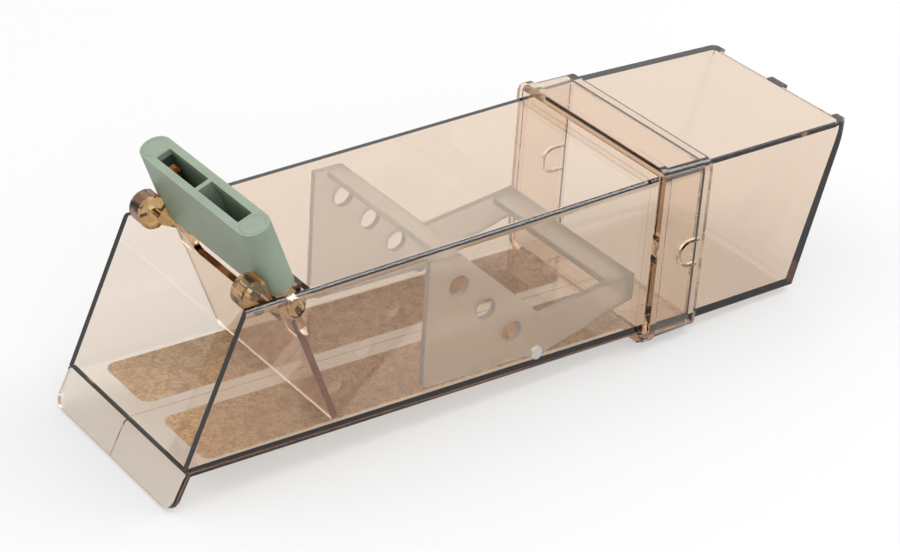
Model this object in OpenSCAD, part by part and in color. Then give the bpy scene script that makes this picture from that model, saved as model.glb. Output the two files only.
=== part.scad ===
// Live catch trap: a smoked clear tunnel with a swinging door, a tipping treadle
// and a pull-off bait box. Millimetres, +Z up, +X from the entrance to the bait box.

/* [Overall] */
// Outside width of the tunnel
tunnel_width = 64; // [50:1:90]
// Length of the tunnel floor, front edge to the end inside the collar
tunnel_length = 171; // [150:1:230]
// Outside height of the tunnel at its front edge
tunnel_height = 45; // [42:0.5:60]
// Extra height the tunnel gains by its rear end
tunnel_rise = 6; // [0:0.5:10]
// Wall thickness of the smoked mouldings
wall = 2; // [1.6:0.1:3]
// Lean of the cut-back side walls at the entrance, from vertical
entrance_lean = 21.8; // [0:0.1:35]
// Distance from the floor's front edge to the front edge of the roof
roof_start = 38.5; // [36:0.5:60]
// Radius on the long outside corners of the roof
corner_round = 2; // [1:0.1:2]

/* [Lip] */
// Depth of the foot lip below the floor
lip_drop = 10.4; // [6:0.1:16]
// Lean of the foot lip, from vertical
lip_lean = 25; // [0:1:40]
// Rounding of the lip's lower corners
lip_round = 4; // [1:0.5:8]

/* [Door] */
// Distance of the door pivot behind the floor's front edge
pivot_x = 33.5; // [28:0.5:50]
// Depth of the door pivot below the roof line
pivot_drop = 3.9; // [3.2:0.1:8]
// Diameter of the door's pivot pins
door_pin_d = 5; // [3:0.1:6]
// Distance from the floor's front edge to the shut door's lower edge
door_foot_x = 49.7; // [44:0.1:70]
// Thickness of the door panel
door_panel = 2; // [1.4:0.1:3]
// Distance down from the pivot to the panel's upper edge
door_window = 9; // [6:0.5:14]
// Width across the door of each pivot lug
lug_width = 6; // [4:0.5:8]
// Diameter of each round lug in front of the pivot
lug_d = 9.6; // [6:0.2:12]
// Diameter of the blind recess in each lug
lug_recess_d = 3.6; // [2:0.2:5]

/* [Handle] */
// Distance from the door pivot up to the foot of the finger grip
grip_rise = 5; // [4.6:0.1:10]
// Height of the finger grip along the line of the door
grip_height = 21.6; // [10:0.2:30]
// Thickness of the finger grip
grip_thick = 9.2; // [6:0.2:12]
// Wall thickness of the hollow finger grip
grip_wall = 1.6; // [1.2:0.1:2.4]
// Length of the slot in the top of the grip
slot_length = 42; // [20:1:60]
// Width of the slot in the top of the grip
slot_width = 4.6; // [2:0.2:6]

/* [Treadle] */
// Gap between the door's sweeping edge and the treadle's front edge
treadle_gap = 2; // [1:0.1:6]
// Gap between the treadle's top and the inside of the roof
treadle_headroom = 2.3; // [2:0.1:6]
// Distance from the treadle's front edge to its pivot
treadle_arm = 39; // [34:0.5:50]
// Diameter of the treadle's pivot pins
treadle_pin_d = 4; // [3:0.1:5]
// Thickness of the treadle's walls
treadle_wall = 2; // [1.4:0.1:3]
// Length of the treadle's frame behind its pivot
treadle_reach = 35; // [24:0.5:50]
// Diameter of the holes in the treadle's side plates
treadle_hole_d = 6.6; // [3:0.2:8]

/* [Bait box] */
// Length of the collar that slips over the tunnel
collar_length = 16.5; // [10:0.5:24]
// Length of the box roof behind the collar
box_roof_length = 58; // [30:0.5:90]
// Length of the box floor behind the collar
box_floor_length = 43.8; // [24:0.5:80]
// Narrowing of each side of the box by its rear end
box_taper = 1.2; // [0:0.1:3]
// Gap all round between the tunnel and the collar
collar_gap = 0.4; // [0.3:0.05:0.8]
// Drop of the collar's pads below the underside of the floor
pad_drop = 4.2; // [3.6:0.1:8]

/* [Hidden] */
$fn = 64;
eps = 0.02;
part_gap = 0.4;
pin_gap = 0.06;
half = tunnel_width / 2;
inner_half = half - wall;
rise_rate = tunnel_rise / tunnel_length;
rise_angle = atan(rise_rate);
function roof_z(x) = tunnel_height + rise_rate * x;
tunnel_end_z = roof_z(tunnel_length);
mat_thick = 0.4;
mat_front_x = 8.6;
mat_rear_x = tunnel_length - collar_length - 1.5;
mat_inner_y = 4.4;
mat_outer_y = inner_half - 2.7;
mat_round = 3.4;
groove_width = 0.6;
groove_depth = 0.25;

// Door frame of reference: u runs up the door, n runs to its rear face
pivot_z = roof_z(pivot_x) - pivot_drop;
door_side = inner_half - part_gap;
door_floor_z = wall + 0.7;
door_lean = atan((door_foot_x - pivot_x) / (pivot_z - door_floor_z));
panel_n = -1.2;
door_foot_u = (pivot_z - door_floor_z + (panel_n - door_panel / 2) * sin(door_lean)) / cos(door_lean);
door_reach = norm([door_foot_u, panel_n - door_panel / 2]);
hub_d = door_pin_d + 2.4;
arm_width = lug_width;
arm_n_low = panel_n - door_panel / 2;
arm_n_high = 0.9;
window_round = 4;
grip_foot_u = grip_rise;
grip_top_u = grip_foot_u + grip_height;
grip_side = inner_half - 0.35;
grip_r = grip_thick / 2;
seat_u = grip_foot_u - 2.4;
prong_length = 4;
seat_inner_y = slot_length / 2 - prong_length - 1.9;
prong_thick = 3;
prong_top_u = grip_top_u - 5;
lug_x = -10.8;
lug_z = 5.1;
door_bore_d = door_pin_d + 2 * pin_gap;
door_pin_end = half - 0.3;

// Treadle
treadle_side = inner_half - part_gap - 0.2;
treadle_front_x = pivot_x + door_reach + treadle_gap;
treadle_top_z = roof_z(treadle_front_x) - wall - treadle_headroom;
treadle_pivot_x = treadle_front_x + treadle_arm;
treadle_pivot_z = wall + 0.3 + treadle_pin_d / 2;
treadle_foot_z = wall + 1.3;
treadle_bore_d = treadle_pin_d + 2 * pin_gap;
treadle_pin_end = half - 0.1;
treadle_shoulder_x = treadle_front_x + 10.2;
treadle_knee_z = treadle_foot_z + 12.6;
treadle_back_x = treadle_pivot_x + treadle_reach;
treadle_back_low = treadle_foot_z + 8.4;
treadle_back_high = treadle_back_low + 8.8;
bridge_x = treadle_front_x + 4.2;
ledge_width = 8.6;
rib_width = 3.4;
rib_height = 1.2;
hole_top = [treadle_shoulder_x + 0.1, treadle_top_z - 10];
hole_low = [treadle_pivot_x - 8.8, treadle_foot_z + 9.9];

// Collar and bait box
collar_half = half + collar_gap;
collar_low = -collar_gap;
collar_high = tunnel_end_z + collar_gap;
sleeve_half = collar_half + wall;
sleeve_low = collar_low - wall;
sleeve_high = collar_high + wall;
sleeve_round = 3.4;
collar_front_x = tunnel_length + 0.5 - collar_length;
shoulder_x = tunnel_length + 0.5;
box_x = shoulder_x + wall;
rim_length = 2.4;
rim_out = 1;
box_low = -0.6;
box_high = tunnel_end_z + 0.9;
box_half = half;
box_roof_x = box_x + box_roof_length - wall;
box_floor_x = box_x + box_floor_length - wall;
box_corner = 2.4;
notch_depth = 1.3;
notch_inner_y = 3.6;
notch_outer_y = half - 6.2;
latch_z = roof_z(tunnel_length) / 2 - 1.4;
latch_height = 8;
latch_length = 7;
latch_slit = 0.9;

// Standing pose: the lip and the collar pads both rest on the ground
lip_length = (lip_drop - wall * sin(lip_lean)) / cos(lip_lean);
lip_tip_x = -lip_length * sin(lip_lean);
lip_foot_x = lip_tip_x + wall * cos(lip_lean);
stand_angle = atan((lip_drop - pad_drop) / (box_x - lip_foot_x));
stand_lift = lip_drop * cos(stand_angle) + lip_foot_x * sin(stand_angle);
front_end = lip_tip_x * cos(stand_angle) - (lip_length * cos(lip_lean)) * sin(stand_angle);
rear_end = box_roof_x * cos(stand_angle) + box_high * sin(stand_angle);
mid_x = (front_end + rear_end) / 2;

smoked = [0.80, 0.70, 0.58, 0.45];
milky = [0.88, 0.84, 0.78, 0.8];
green = [0.50, 0.63, 0.52];
granular = [0.62, 0.45, 0.30];

module stand() {
    translate([-mid_x, 0, stand_lift])
        rotate([0, stand_angle, 0])
            children();
}

// A slab cut to a side outline and centred on the trap's long axis
module slab(width, outline) {
    translate([0, width / 2, 0])
        rotate([90, 0, 0])
            linear_extrude(height = width)
                polygon(outline);
}

module rounded_rect(w, h, r) {
    square([w - 2 * r, h], center = true);
    square([w, h - 2 * r], center = true);
    for (sx = [-1, 1])
        for (sy = [-1, 1])
            translate([sx * (w / 2 - r), sy * (h / 2 - r)])
                circle(r);
}

// A bar along X with a rounded-corner section from low to high
module sleeve_bar(x, length, half_width, low, high, r) {
    translate([x, 0, (low + high) / 2])
        rotate([90, 0, 90])
            linear_extrude(height = length)
                rounded_rect(2 * half_width, high - low, r);
}

// Material removed to round one long outside corner of the roof
module roof_corner(side) {
    translate([0, side * (half - corner_round), tunnel_height - corner_round])
        rotate([0, -rise_angle, 0])
            translate([-20, 0, 0])
                difference() {
                    translate([0, side > 0 ? 0 : -corner_round - 1, 0])
                        cube([tunnel_length + 60, corner_round + 1, corner_round + 1]);
                    translate([-1, 0, 0])
                        rotate([0, 90, 0])
                            cylinder(r = corner_round, h = tunnel_length + 62);
                }
}

module tunnel_shell() {
    wall_top_x = roof_z(0) * tan(entrance_lean) / (1 - rise_rate * tan(entrance_lean));
    difference() {
        union() {
            for (side = [-1, 1])
                translate([0, side * (half - wall / 2), 0])
                    slab(wall, [[0, 0], [tunnel_length, 0], [tunnel_length, tunnel_end_z],
                        [wall_top_x, roof_z(wall_top_x)]]);
            slab(tunnel_width - eps, [[0, 0], [tunnel_length, 0], [tunnel_length, wall],
                [wall * tan(entrance_lean), wall]]);
            slab(tunnel_width - eps, [[roof_start, roof_z(roof_start) - wall],
                [tunnel_length, tunnel_end_z - wall], [tunnel_length, tunnel_end_z],
                [roof_start, roof_z(roof_start)]]);
        }
        for (side = [-1, 1])
            roof_corner(side);
    }
}

// The lip leans out below the floor's front edge, square at its root
module lip() {
    lip_half = half - 0.3;
    rotate([0, lip_lean, 0])
        translate([0, 0, -lip_length / 2])
            rotate([0, 90, 0])
                difference() {
                    union() {
                        linear_extrude(height = wall)
                            rounded_rect(lip_length, 2 * lip_half, lip_round);
                        translate([-lip_length / 2 - wall / 2 + 0.2, -lip_half, 0])
                            cube([lip_round + 1, 2 * lip_half, wall]);
                    }
                    translate([-lip_length / 2 + 1, -groove_width / 2, groove_depth - 1])
                        cube([lip_length, groove_width, 1]);
                }
}

module tunnel() {
    color(smoked)
        stand()
            difference() {
                union() {
                    tunnel_shell();
                    lip();
                }
                translate([pivot_x, 0, pivot_z])
                    rotate([90, 0, 0])
                        cylinder(d = door_bore_d, h = tunnel_width + 2, center = true);
                translate([treadle_pivot_x, 0, treadle_pivot_z])
                    rotate([90, 0, 0])
                        cylinder(d = treadle_bore_d, h = tunnel_width + 2, center = true);
                translate([lip_foot_x + 2, -groove_width / 2, groove_depth - 1])
                    cube([tunnel_length, groove_width, 1]);
            }
}

// One granular pad under the floor
module mat(side) {
    y_mid = side * (mat_inner_y + mat_outer_y) / 2;
    color(granular)
        stand()
            translate([(mat_front_x + mat_rear_x) / 2, y_mid, -mat_thick])
                linear_extrude(height = mat_thick)
                    rounded_rect(mat_rear_x - mat_front_x, mat_outer_y - mat_inner_y, mat_round);
}

module mat_left() {
    mat(1);
}

module mat_right() {
    mat(-1);
}

// Places door shapes: x becomes n, z becomes u
module door_frame() {
    translate([pivot_x, 0, pivot_z])
        rotate([0, -door_lean, 0])
            children();
}

module door_panel_shape() {
    window_half = door_side - arm_width;
    translate([panel_n - door_panel / 2, 0, 0])
        rotate([90, 0, 90])
            linear_extrude(height = door_panel)
                difference() {
                    translate([-door_side, -door_foot_u])
                        square([2 * door_side, door_foot_u - 2]);
                    translate([0, -door_window + window_round + 4])
                        rounded_rect(2 * window_half, 2 * window_round + 8, window_round);
                }
}

// Side outline of one hinge end: arm, pivot hub, neck to the round lug, grip seat post
module door_end_outline(lug_n, lug_u) {
    translate([arm_n_low - 0.2, -door_window - 2])
        square([arm_n_high - arm_n_low + 0.2, door_window + 2]);
    circle(d = hub_d);
    translate([lug_n, lug_u])
        circle(d = lug_d);
    rotate(atan2(lug_u, lug_n))
        translate([0, -2.8])
            square([norm([lug_n, lug_u]), 5.6]);
    translate([-2.6, 0])
        square([5.2, seat_u + 0.6]);
}

module door_end(side) {
    arm_y = side > 0 ? door_side : -door_side + arm_width;
    seat_y = side > 0 ? seat_inner_y : -door_side;
    prong_y = side * slot_length / 2 - (side > 0 ? prong_length : 0);
    lug_n = lug_x * cos(door_lean) + lug_z * sin(door_lean);
    lug_u = -lug_x * sin(door_lean) + lug_z * cos(door_lean);
    difference() {
        translate([0, arm_y, 0])
            rotate([90, 0, 0])
                linear_extrude(height = arm_width)
                    difference() {
                        door_end_outline(lug_n, lug_u);
                        translate([-grip_r, grip_foot_u])
                            square([2 * grip_thick, 2 * lug_d]);
                    }
        translate([lug_n, side * (door_side - arm_width + 3.4), lug_u])
            rotate([side * 90, 0, 0])
                cylinder(d = lug_recess_d, h = arm_width);
    }
    translate([-grip_r + 0.6, seat_y, seat_u])
        cube([grip_thick - 1.2, door_side - seat_inner_y, grip_foot_u - seat_u]);
    translate([-prong_thick / 2, prong_y, seat_u + 0.4])
        cube([prong_thick, prong_length, prong_top_u - seat_u - 0.4]);
    translate([0, side > 0 ? door_pin_end : -door_side + 1, 0])
        rotate([90, 0, 0])
            cylinder(d = door_pin_d, h = door_pin_end - door_side + 1);
}

module door() {
    color(smoked)
        stand()
            door_frame() {
                door_panel_shape();
                for (side = [-1, 1])
                    door_end(side);
            }
}

module grip_outline(inset) {
    flat = grip_side - grip_r;
    r = grip_r - inset;
    square([2 * r, 2 * flat], center = true);
    for (side = [-1, 1])
        translate([0, side * flat])
            circle(r);
}

module grip() {
    roof = 2;
    slot_land = 0.8;
    color(green)
        stand()
            door_frame()
                difference() {
                    translate([0, 0, grip_foot_u])
                        linear_extrude(height = grip_height)
                            grip_outline(0);
                    difference() {
                        translate([0, 0, grip_foot_u - 1])
                            linear_extrude(height = grip_height + 1 - roof)
                                grip_outline(grip_wall);
                        translate([-grip_r, -slot_land, grip_foot_u])
                            cube([grip_thick, 2 * slot_land, grip_height]);
                    }
                    for (side = [-1, 1])
                        translate([-slot_width / 2, side > 0 ? slot_land : -slot_length / 2, grip_top_u - roof - 1])
                            cube([slot_width, slot_length / 2 - slot_land, roof + 2]);
                }
}

module treadle_side_plate(side) {
    y = side > 0 ? treadle_side : -treadle_side + treadle_wall;
    translate([0, y, 0])
        rotate([90, 0, 0])
            linear_extrude(height = treadle_wall)
                difference() {
                    union() {
                        polygon([[treadle_front_x, treadle_foot_z + 2],
                            [treadle_front_x + 0.6, treadle_foot_z + 0.6],
                            [treadle_front_x + 2, treadle_foot_z],
                            [treadle_pivot_x + 4.6, treadle_foot_z],
                            [treadle_back_x, treadle_back_low],
                            [treadle_back_x, treadle_back_high - 0.6],
                            [treadle_back_x - 0.6, treadle_back_high],
                            [treadle_pivot_x + 1.4, treadle_knee_z],
                            [treadle_shoulder_x, treadle_top_z],
                            [treadle_front_x, treadle_top_z]]);
                        translate([treadle_pivot_x, treadle_pivot_z])
                            circle(d = treadle_pin_d);
                    }
                    for (i = [0:2])
                        translate(hole_top + (hole_low - hole_top) * i / 2)
                            circle(d = treadle_hole_d);
                }
}

// Stiffening rib on the inner face of a side plate, along its sloping edge
module treadle_rib(side) {
    run = [treadle_pivot_x + 1.4 - treadle_shoulder_x, treadle_knee_z - treadle_top_z];
    inward = [run[1], -run[0]] / norm(run) * rib_width;
    start = [treadle_shoulder_x, treadle_top_z] + 0.02 * run;
    end = start + 0.96 * run;
    y = side > 0 ? treadle_side - treadle_wall + 0.5 : -treadle_side + treadle_wall + rib_height;
    translate([0, y, 0])
        rotate([90, 0, 0])
            linear_extrude(height = rib_height + 0.5)
                polygon([start, end, end + inward, start + inward]);
}

module treadle() {
    ledge_slope = (treadle_back_high - treadle_knee_z) / (treadle_reach - 1.4);
    ledge_front = treadle_back_x - ledge_width;
    ledge_front_z = treadle_back_high - ledge_slope * ledge_width;
    width = 2 * treadle_side - eps;
    color(milky)
        stand() {
            for (side = [-1, 1]) {
                treadle_side_plate(side);
                treadle_rib(side);
                translate([treadle_pivot_x, side > 0 ? treadle_pin_end : -treadle_side + 1, treadle_pivot_z])
                    rotate([90, 0, 0])
                        cylinder(d = treadle_pin_d, h = treadle_pin_end - treadle_side + 1);
            }
            slab(width, [[bridge_x, treadle_top_z - treadle_wall],
                [treadle_shoulder_x, treadle_top_z - treadle_wall],
                [treadle_shoulder_x, treadle_top_z - eps], [bridge_x, treadle_top_z - eps]]);
            slab(width, [[ledge_front, ledge_front_z - treadle_wall],
                [treadle_back_x - 0.7, treadle_back_high - treadle_wall],
                [treadle_back_x - 0.7, treadle_back_high - eps], [ledge_front, ledge_front_z - eps]]);
            slab(width, [[treadle_back_x - treadle_wall, treadle_back_low],
                [treadle_back_x - eps, treadle_back_low],
                [treadle_back_x - eps, treadle_back_high - 0.7],
                [treadle_back_x - treadle_wall, treadle_back_high - 0.7]]);
        }
}

// Plan outline of the bait box, narrowing to the rear with rounded rear corners
function arc_points(cx, cy, r, from, to, steps) =
    [for (i = [0:steps]) [cx + r * cos(from + (to - from) * i / steps),
        cy + r * sin(from + (to - from) * i / steps)]];

module box_plan(x0, x1, half0, half1, low, high, r) {
    translate([0, 0, low])
        linear_extrude(height = high - low)
            polygon(concat([[x0, -half0]], arc_points(x1 - r, -half1 + r, r, -90, 0, 6),
                arc_points(x1 - r, half1 - r, r, 0, 90, 6), [[x0, half0]]));
}

module box_profile(x0, inset) {
    slab(4 * half, [[x0, box_low + inset], [box_floor_x - inset, box_low + inset],
        [box_roof_x - inset, box_high - inset], [x0, box_high - inset]]);
}

module box_body() {
    difference() {
        intersection() {
            box_plan(shoulder_x, box_roof_x, box_half, box_half - box_taper, box_low - 1, box_high + 1,
                box_corner);
            box_profile(shoulder_x, 0);
        }
        intersection() {
            box_plan(shoulder_x - 1, box_roof_x - wall, box_half - wall, box_half - box_taper - wall,
                box_low, box_high, box_corner - 1);
            box_profile(shoulder_x - 1, wall);
        }
        for (side = [-1, 1])
            translate([box_roof_x - wall - 0.2, side > 0 ? notch_inner_y : -notch_outer_y,
                box_high - notch_depth])
                cube([wall + 4, notch_outer_y - notch_inner_y, notch_depth + 1]);
    }
}

// Underside of the pads, level with the ground in the standing pose
function pad_z(x) = -pad_drop + (x - box_x) * tan(stand_angle);

module collar() {
    pad_x = collar_front_x + 0.6;
    difference() {
        union() {
            sleeve_bar(collar_front_x, box_x - collar_front_x, sleeve_half, sleeve_low, sleeve_high,
                sleeve_round);
            sleeve_bar(collar_front_x, rim_length, sleeve_half + rim_out, sleeve_low - rim_out,
                sleeve_high + rim_out, sleeve_round + rim_out);
            for (side = [-1, 1])
                translate([0, side * (half - 8), 0])
                    slab(12, [[pad_x, pad_z(pad_x)], [box_x, pad_z(box_x)],
                        [box_x, sleeve_low + 1], [pad_x, sleeve_low + 1]]);
        }
        translate([collar_front_x - 1, -collar_half, collar_low])
            cube([shoulder_x - collar_front_x + 1, 2 * collar_half, collar_high - collar_low]);
        translate([shoulder_x - 1, -box_half + wall, box_low + wall])
            cube([2 * wall + 2, 2 * (box_half - wall), box_high - box_low - 2 * wall]);
        for (side = [-1, 1])
            latch_cut(side);
    }
    for (side = [-1, 1])
        translate([shoulder_x - latch_length + 1.2, side * (collar_half + 0.2), latch_z])
            cube([1.6, 0.6, latch_height - 2.4], center = true);
}

// Rounded slit that frees a snap tongue in the collar's side
module latch_outline(r) {
    circle(r);
    translate([0, -r])
        square([latch_length, 2 * r]);
}

module latch_cut(side) {
    r = latch_height / 2;
    translate([shoulder_x - latch_length + r, side * (collar_half + wall / 2) + wall, latch_z])
        rotate([90, 0, 0])
            linear_extrude(height = 2 * wall)
                intersection() {
                    difference() {
                        latch_outline(r + latch_slit / 2);
                        latch_outline(r - latch_slit / 2);
                    }
                    translate([-2 * r, -2 * r])
                        square([latch_length + r, 4 * r]);
                }
}

module bait_box() {
    color(smoked)
        stand() {
            box_body();
            collar();
        }
}

tunnel();
door();
grip();
treadle();
bait_box();
mat_left();
mat_right();
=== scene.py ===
import math

import bmesh
import bpy
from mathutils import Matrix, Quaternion, Vector


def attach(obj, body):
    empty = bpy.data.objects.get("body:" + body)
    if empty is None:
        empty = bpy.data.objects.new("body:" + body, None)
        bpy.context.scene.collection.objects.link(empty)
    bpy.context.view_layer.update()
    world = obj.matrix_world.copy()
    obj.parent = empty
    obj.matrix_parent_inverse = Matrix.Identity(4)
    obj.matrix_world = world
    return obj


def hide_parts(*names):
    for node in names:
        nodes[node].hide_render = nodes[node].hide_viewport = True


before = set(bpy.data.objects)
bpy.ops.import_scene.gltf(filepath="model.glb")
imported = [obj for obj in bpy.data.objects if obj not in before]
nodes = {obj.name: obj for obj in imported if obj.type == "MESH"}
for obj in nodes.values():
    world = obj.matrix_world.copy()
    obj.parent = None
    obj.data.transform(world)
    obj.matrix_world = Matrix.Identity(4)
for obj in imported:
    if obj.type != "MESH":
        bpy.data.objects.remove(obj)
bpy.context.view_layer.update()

scene = bpy.context.scene

# Moulded edge radii, in metres
CLEAR_EDGE = 0.0003
DOOR_EDGE = 0.00025
GRIP_EDGE = 0.0005
TREADLE_EDGE = 0.0003
MAT_EDGE = 0.0001
EDGE_SEGMENTS = 3
MAT_EDGE_SEGMENTS = 2

# The air gap between the clear floor and the mats under it
MAT_AIR_GAP = 0.00006

# The shut door's tilt and pivot, and how far its grip's top is above the pivot along the door
DOOR_TILT = math.radians(20.2456)
DOOR_PIVOT = Vector((-0.07823, 0, 0.05137))
GRIP_TOP = 0.0266

# The fine rings on the grip's top, one over each rounded end
RING_OFFSET = 0.0251
RING_RADIUS = 0.0036
RING_THICKNESS = 0.00022
RING_SINK = 0.00003
RING_FLATNESS = 0.6
RING_SIDES = 40
RING_SECTION_SIDES = 8

# Heights on the door between which its thick amber parts begin
DOOR_THIN_BELOW = 0.043
DOOR_THICK_ABOVE = 0.048

# Sky strength level with the ground and overhead, and the height at which it is full
HORIZON_STRENGTH = 0.5
OVERHEAD_STRENGTH = 1.45
FULL_SKY_HEIGHT = 0.6

FLOOR_SIZE = 6


# Material helpers

def new_material(name):
    mat = bpy.data.materials.new(name)
    mat.use_nodes = True
    tree = mat.node_tree
    tree.nodes.clear()
    out = tree.nodes.new("ShaderNodeOutputMaterial")
    bsdf = tree.nodes.new("ShaderNodeBsdfPrincipled")
    tree.links.new(bsdf.outputs[0], out.inputs["Surface"])
    return mat, tree, bsdf, out


def noise(tree, scale, detail, rough=0.5, distort=0.0):
    """A noise pattern fixed to the piece, with about `scale` features to a metre."""
    coord = tree.nodes.new("ShaderNodeTexCoord")
    tex = tree.nodes.new("ShaderNodeTexNoise")
    tex.inputs["Scale"].default_value = scale
    tex.inputs["Detail"].default_value = detail
    tex.inputs["Roughness"].default_value = rough
    tex.inputs["Distortion"].default_value = distort
    tree.links.new(coord.outputs["Object"], tex.inputs["Vector"])
    return tex.outputs["Fac"]


def ramp(tree, source, stops):
    """A colour for each value of the source, from (value, colour) stops."""
    node = tree.nodes.new("ShaderNodeValToRGB")
    while len(node.color_ramp.elements) < len(stops):
        node.color_ramp.elements.new(0.5)
    for element, (place, colour) in zip(node.color_ramp.elements, stops):
        element.position = place
        element.color = (*colour, 1)
    tree.links.new(source, node.inputs["Fac"])
    return node.outputs[0]


def spread(tree, source, low, high):
    """The source's 0 to 1 stretched over low to high."""
    node = tree.nodes.new("ShaderNodeMapRange")
    node.inputs["To Min"].default_value = low
    node.inputs["To Max"].default_value = high
    tree.links.new(source, node.inputs["Value"])
    return node.outputs[0]


def bump(tree, source, strength, distance, bsdf):
    node = tree.nodes.new("ShaderNodeBump")
    node.inputs["Strength"].default_value = strength
    node.inputs["Distance"].default_value = distance
    tree.links.new(source, node.inputs["Height"])
    tree.links.new(node.outputs[0], bsdf.inputs["Normal"])


def subsurface(bsdf, weight, radius, scale):
    bsdf.inputs["Subsurface Weight"].default_value = weight
    bsdf.inputs["Subsurface Radius"].default_value = radius
    bsdf.inputs["Subsurface Scale"].default_value = scale


# Materials

def smoked_plastic(name, skin, soak_rgb, thick_skin=None):
    """Clear brown-smoked styrene: a warm skin over a volume that soaks up soak_rgb per metre of each colour.

    thick_skin deepens the skin of the door's thick parts, which are above DOOR_THICK_ABOVE.
    """
    density = 1.05 * max(soak_rgb)
    tint = [1 - value / density for value in soak_rgb]
    mat, tree, bsdf, out = new_material(name)
    bsdf.inputs["Base Color"].default_value = (*skin, 1)
    bsdf.inputs["Transmission Weight"].default_value = 1.0
    bsdf.inputs["IOR"].default_value = 1.5
    if thick_skin:
        place = tree.nodes.new("ShaderNodeTexCoord")
        split = tree.nodes.new("ShaderNodeSeparateXYZ")
        height = tree.nodes.new("ShaderNodeMapRange")
        height.inputs["From Min"].default_value = DOOR_THIN_BELOW
        height.inputs["From Max"].default_value = DOOR_THICK_ABOVE
        tree.links.new(place.outputs["Object"], split.inputs[0])
        tree.links.new(split.outputs["Z"], height.inputs["Value"])
        stain = ramp(tree, height.outputs[0], [(0.0, skin), (1.0, thick_skin)])
        tree.links.new(stain, bsdf.inputs["Base Color"])
    ripples = noise(tree, scale=55, detail=2, rough=0.4)
    tree.links.new(spread(tree, ripples, 0.01, 0.05), bsdf.inputs["Roughness"])
    bump(tree, ripples, 0.04, 0.0006, bsdf)
    soak = tree.nodes.new("ShaderNodeVolumeAbsorption")
    soak.inputs["Color"].default_value = (*tint, 1)
    soak.inputs["Density"].default_value = density
    tree.links.new(soak.outputs[0], out.inputs["Volume"])
    return mat


def green_plastic():
    """Satin sage green, lightly uneven."""
    mat, tree, bsdf, _ = new_material("green satin plastic")
    cloud = noise(tree, scale=90, detail=4, rough=0.6)
    tone = ramp(tree, cloud, [(0.3, (0.160, 0.205, 0.150)), (0.7, (0.190, 0.235, 0.178))])
    tree.links.new(tone, bsdf.inputs["Base Color"])
    grain = noise(tree, scale=1400, detail=3, rough=0.6)
    tree.links.new(spread(tree, grain, 0.36, 0.5), bsdf.inputs["Roughness"])
    bump(tree, grain, 0.12, 0.00005, bsdf)
    subsurface(bsdf, 0.35, (0.7, 1.0, 0.75), 0.0012)
    return mat


def milky_plastic():
    """Cloudy natural plastic that lets blurred light through."""
    mat, tree, bsdf, _ = new_material("milky treadle plastic")
    cloud = noise(tree, scale=70, detail=3)
    tone = ramp(tree, cloud, [(0.3, (0.995, 0.965, 0.91)), (0.7, (1.0, 0.985, 0.945))])
    tree.links.new(tone, bsdf.inputs["Base Color"])
    bsdf.inputs["Transmission Weight"].default_value = 0.66
    bsdf.inputs["IOR"].default_value = 1.3
    subsurface(bsdf, 0.8, (1.0, 0.9, 0.78), 0.004)
    tree.links.new(spread(tree, cloud, 0.26, 0.34), bsdf.inputs["Roughness"])
    grain = noise(tree, scale=900, detail=2)
    bump(tree, grain, 0.06, 0.00005, bsdf)
    return mat


def granular_mat():
    """Brown granules: broad blotches darkened by fine specks."""
    mat, tree, bsdf, _ = new_material("granular floor mat")
    blotch = noise(tree, scale=260, detail=5, rough=0.7, distort=0.4)
    speck = noise(tree, scale=1100, detail=4, rough=0.7)
    browns = [(0.34, (0.62, 0.44, 0.25)), (0.5, (0.88, 0.68, 0.43)), (0.66, (1.0, 0.90, 0.66))]
    base = ramp(tree, blotch, browns)
    grit = ramp(tree, speck, [(0.38, (0.58, 0.50, 0.40)), (0.58, (1.0, 1.0, 1.0))])
    mix = tree.nodes.new("ShaderNodeMix")
    mix.data_type = "RGBA"
    mix.blend_type = "MULTIPLY"
    mix.inputs[0].default_value = 0.9
    tree.links.new(base, mix.inputs[6])
    tree.links.new(grit, mix.inputs[7])
    tree.links.new(mix.outputs[2], bsdf.inputs["Base Color"])
    bsdf.inputs["Roughness"].default_value = 0.8
    bump(tree, speck, 0.8, 0.0004, bsdf)
    return mat


SMOKED = smoked_plastic("smoked plastic", (0.965, 0.895, 0.825), (30, 46, 62))
AMBER = smoked_plastic("smoked door plastic", (0.965, 0.905, 0.835), (32, 52, 78), (0.66, 0.50, 0.28))
GREEN = green_plastic()
MILKY = milky_plastic()
GRIT = granular_mat()


# Pieces

def dressed(node, body, material, bevel, segments=EDGE_SEGMENTS):
    """A visual copy of a CAD piece with softened moulded edges."""
    mesh = nodes[node].data.copy()
    piece = bpy.data.objects.new(node + "_moulding", mesh)
    scene.collection.objects.link(piece)
    work = bmesh.new()
    work.from_mesh(mesh)
    bmesh.ops.remove_doubles(work, verts=work.verts, dist=1e-6)
    bmesh.ops.dissolve_limit(work, angle_limit=math.radians(0.5), verts=work.verts, edges=work.edges)
    work.to_mesh(mesh)
    work.free()
    mesh.materials.clear()
    mesh.materials.append(material)
    soft = piece.modifiers.new("edges", "BEVEL")
    soft.width = bevel
    soft.segments = segments
    soft.limit_method = "ANGLE"
    soft.angle_limit = math.radians(40)
    soft.harden_normals = True
    for face in mesh.polygons:
        face.use_smooth = True
    mesh.set_sharp_from_angle(angle=math.radians(35))
    flats = piece.modifiers.new("flats", "WEIGHTED_NORMAL")
    flats.keep_sharp = True
    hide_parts(node)
    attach(piece, body)
    return piece


def door_point(n, y, u):
    """A point of the shut door: u up the door from its pivot, n toward its rear, y across."""
    axis_n = Vector((math.cos(DOOR_TILT), 0, math.sin(DOOR_TILT)))
    axis_u = Vector((-math.sin(DOOR_TILT), 0, math.cos(DOOR_TILT)))
    return DOOR_PIVOT + axis_n * n + Vector((0, y, 0)) + axis_u * u


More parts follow.
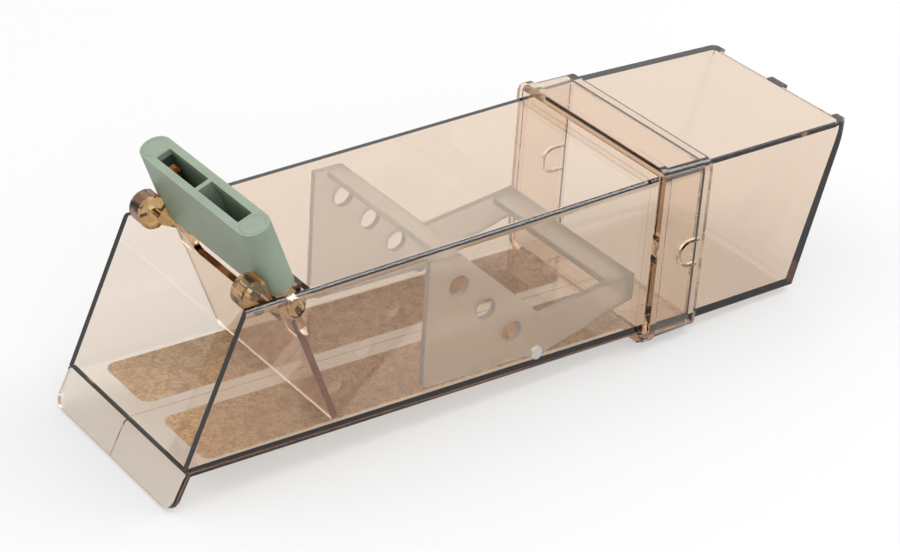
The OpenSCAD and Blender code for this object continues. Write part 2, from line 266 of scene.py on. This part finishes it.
def add_ring(work, centre_y):
    """A fine raised ring on the top of the grip."""
    loops = []
    for i in range(RING_SIDES):
        turn = 2 * math.pi * i / RING_SIDES
        loop = []
        for k in range(RING_SECTION_SIDES):
            roll = 2 * math.pi * k / RING_SECTION_SIDES
            reach = RING_RADIUS + RING_THICKNESS * math.cos(roll)
            rise = RING_FLATNESS * RING_THICKNESS * math.sin(roll) - RING_SINK
            point = door_point(reach * math.cos(turn), centre_y + reach * math.sin(turn), GRIP_TOP + rise)
            loop.append(work.verts.new(point))
        loops.append(loop)
    for i in range(RING_SIDES):
        here, ahead = loops[i], loops[(i + 1) % RING_SIDES]
        for k in range(RING_SECTION_SIDES):
            up = (k + 1) % RING_SECTION_SIDES
            work.faces.new((here[k], ahead[k], ahead[up], here[up]))


dressed("tunnel", "shell", SMOKED, CLEAR_EDGE)
dressed("bait_box", "bait_box", SMOKED, CLEAR_EDGE)
dressed("door", "door", AMBER, DOOR_EDGE)

grip = dressed("grip", "door", GREEN, GRIP_EDGE)
grip_mesh = bmesh.new()
grip_mesh.from_mesh(grip.data)
for side in (-1, 1):
    add_ring(grip_mesh, side * RING_OFFSET)
grip_mesh.to_mesh(grip.data)
grip_mesh.free()
grip.data.update()

dressed("treadle", "treadle", MILKY, TREADLE_EDGE)

for name in ("mat_left", "mat_right"):
    mat_piece = dressed(name, "shell", GRIT, MAT_EDGE, MAT_EDGE_SEGMENTS)
    for vertex in mat_piece.data.vertices:
        vertex.co.z -= MAT_AIR_GAP


# Floor: part white surface, part light table, which keeps the shadow under the clear trap weak
floor_mat, _, floor_bsdf, _ = new_material("pale studio floor")
floor_bsdf.inputs["Base Color"].default_value = (0.285, 0.286, 0.288, 1)
floor_bsdf.inputs["Emission Color"].default_value = (1.0, 1.0, 1.0, 1)
floor_bsdf.inputs["Emission Strength"].default_value = 0.42
floor_bsdf.inputs["Roughness"].default_value = 0.9
bpy.ops.mesh.primitive_plane_add(size=FLOOR_SIZE, location=(0, 0, 0))
floor = bpy.context.object
floor.data.materials.append(floor_mat)


# Sky: brighter overhead than near the horizon
world = bpy.data.worlds.new("studio")
scene.world = world
world.use_nodes = True
sky = world.node_tree
direction = sky.nodes.new("ShaderNodeTexCoord")
parts = sky.nodes.new("ShaderNodeSeparateXYZ")
strength = sky.nodes.new("ShaderNodeMapRange")
strength.interpolation_type = "SMOOTHSTEP"
strength.inputs["From Min"].default_value = 0.0
strength.inputs["From Max"].default_value = FULL_SKY_HEIGHT
strength.inputs["To Min"].default_value = HORIZON_STRENGTH
strength.inputs["To Max"].default_value = OVERHEAD_STRENGTH
sky.links.new(direction.outputs["Generated"], parts.inputs[0])
sky.links.new(parts.outputs["Z"], strength.inputs["Value"])
sky.links.new(strength.outputs[0], sky.nodes["Background"].inputs["Strength"])
sky.nodes["Background"].inputs["Color"].default_value = (1, 0.995, 0.985, 1)


# Lights, aimed at the middle of the trap
LIGHT_AIM = Vector((0, 0, 0.03))


def soft_light(name, place, size, power):
    data = bpy.data.lights.new(name, "AREA")
    data.shape = "RECTANGLE"
    data.size, data.size_y = size
    data.energy = power
    lamp = bpy.data.objects.new(name, data)
    scene.collection.objects.link(lamp)
    lamp.location = place
    lamp.rotation_euler = (LIGHT_AIM - Vector(place)).to_track_quat("-Z", "Y").to_euler()


soft_light("key", (0.5, -0.15, 0.85), (0.45, 0.45), 4.0)
soft_light("front", (-0.35, -0.9, 0.45), (0.6, 0.5), 3.0)
soft_light("fill", (-0.6, 0.3, 1.0), (0.8, 0.8), 3.3)


# Camera
cam_data = bpy.data.cameras.new("camera")
cam = bpy.data.objects.new("camera", cam_data)
scene.collection.objects.link(cam)
cam.location = (-0.40371, -0.53881, 0.4151)
cam.rotation_mode = "QUATERNION"
cam.rotation_quaternion = Quaternion((0.82859, 0.470015, -0.165655, -0.255113))
cam_data.sensor_width = 36
cam_data.lens = 107.14
cam_data.shift_x = -0.0022
cam_data.shift_y = -0.0066
cam_data.clip_start = 0.01
scene.camera = cam

# Light passes through many clear walls, so its paths are long
scene.view_settings.view_transform = "Standard"
scene.cycles.max_bounces = 24
scene.cycles.transmission_bounces = 24
scene.cycles.glossy_bounces = 8
scene.cycles.diffuse_bounces = 4
scene.cycles.transparent_max_bounces = 16
